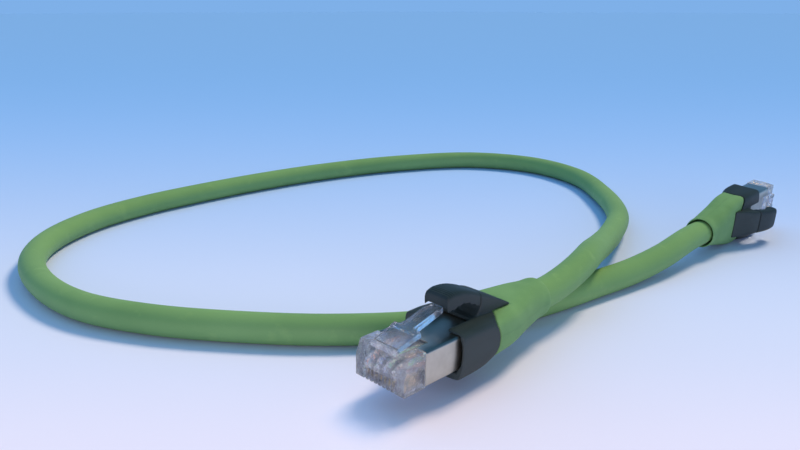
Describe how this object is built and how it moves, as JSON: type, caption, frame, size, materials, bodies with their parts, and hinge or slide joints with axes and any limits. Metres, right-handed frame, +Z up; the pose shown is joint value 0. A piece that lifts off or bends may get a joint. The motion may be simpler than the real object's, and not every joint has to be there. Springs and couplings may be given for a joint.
{
  "type": "patch cable",
  "caption": "Shielded patch cable: a loop of round green cable with a latched modular plug, black hood and moulded boot at each end.",
  "frame": {"origin": "on the surface that the cable lies on, under the middle of the box round the two plugs", "axes": "+X from plug a towards plug b, along both plugs, whose noses point out opposite ways; +Z up from the surface; the loop lies on the +Y side"},
  "size_m": [0.203, 0.1629, 0.018],
  "materials": {
    "jacket": "matt green",
    "boot_rubber": "satin green",
    "hood_plastic": "satin black",
    "clear_plastic": "clear, polished",
    "guide_plastic": "white",
    "shield_metal": "nickel plated",
    "screen_foil": "foil",
    "contact_gold": "gold plated",
    "wire_1": "insulation",
    "wire_2": "insulation",
    "wire_3": "insulation",
    "wire_4": "insulation",
    "wire_5": "insulation",
    "wire_6": "insulation",
    "wire_7": "insulation",
    "wire_8": "insulation"
  },
  "bodies": {
    "cable": {"cable_jacket": "jacket", "plug_a_clear_body": "clear_plastic", "plug_a_wire_guide": "guide_plastic", "plug_a_shield": "shield_metal", "plug_a_crimp_barrel": "shield_metal", "plug_a_screened_core": "screen_foil", "plug_a_hood": "hood_plastic", "plug_a_boot": "boot_rubber", "plug_a_contact_1": "contact_gold", "plug_a_contact_2": "contact_gold", "plug_a_contact_3": "contact_gold", "plug_a_contact_4": "contact_gold", "plug_a_contact_5": "contact_gold", "plug_a_contact_6": "contact_gold", "plug_a_contact_7": "contact_gold", "plug_a_contact_8": "contact_gold", "plug_a_conductor_1": "wire_1", "plug_a_conductor_2": "wire_2", "plug_a_conductor_3": "wire_3", "plug_a_conductor_4": "wire_4", "plug_a_conductor_5": "wire_5", "plug_a_conductor_6": "wire_6", "plug_a_conductor_7": "wire_7", "plug_a_conductor_8": "wire_8", "plug_b_clear_body": "clear_plastic", "plug_b_wire_guide": "guide_plastic", "plug_b_shield": "shield_metal", "plug_b_crimp_barrel": "shield_metal", "plug_b_screened_core": "screen_foil", "plug_b_hood": "hood_plastic", "plug_b_boot": "boot_rubber", "plug_b_contact_1": "contact_gold", "plug_b_contact_2": "contact_gold", "plug_b_contact_3": "contact_gold", "plug_b_contact_4": "contact_gold", "plug_b_contact_5": "contact_gold", "plug_b_contact_6": "contact_gold", "plug_b_contact_7": "contact_gold", "plug_b_contact_8": "contact_gold", "plug_b_conductor_1": "wire_1", "plug_b_conductor_2": "wire_2", "plug_b_conductor_3": "wire_3", "plug_b_conductor_4": "wire_4", "plug_b_conductor_5": "wire_5", "plug_b_conductor_6": "wire_6", "plug_b_conductor_7": "wire_7", "plug_b_conductor_8": "wire_8"},
    "lever_a": {"plug_a_press_lever": "hood_plastic"},
    "latch_a": {"plug_a_latch_tab": "clear_plastic"},
    "lever_b": {"plug_b_press_lever": "hood_plastic"},
    "latch_b": {"plug_b_latch_tab": "clear_plastic"}
  },
  "joints": [
    {"name": "lever_press_a", "type": "hinge", "parent": "cable", "child": "lever_a", "pos_m": [-0.06022, 0.00173, 0.01521], "axis": [0.0002, -0.9997, -0.0262], "range_deg": [0, 8], "stiffness_Nm_per_rad": 0.05},
    {"name": "latch_flex_a", "type": "hinge", "parent": "cable", "child": "latch_a", "pos_m": [-0.08105, 0.00182, 0.01176], "axis": [-0.0002, 0.9997, 0.0262], "range_deg": [0, 8], "stiffness_Nm_per_rad": 0.04},
    {"name": "lever_press_b", "type": "hinge", "parent": "cable", "child": "lever_b", "pos_m": [0.05949, -0.00593, 0.0066], "axis": [-0.0331, -0.0785, 0.9964], "range_deg": [0, 8], "stiffness_Nm_per_rad": 0.05},
    {"name": "latch_flex_b", "type": "hinge", "parent": "cable", "child": "latch_b", "pos_m": [0.08032, -0.00263, 0.00756], "axis": [0.0331, 0.0785, -0.9964], "range_deg": [0, 8], "stiffness_Nm_per_rad": 0.04}
  ],
  "couplings": [
    {"joint": "latch_flex_a", "follows": "lever_press_a", "ratio": 0.65},
    {"joint": "latch_flex_b", "follows": "lever_press_b", "ratio": 0.65}
  ]
}
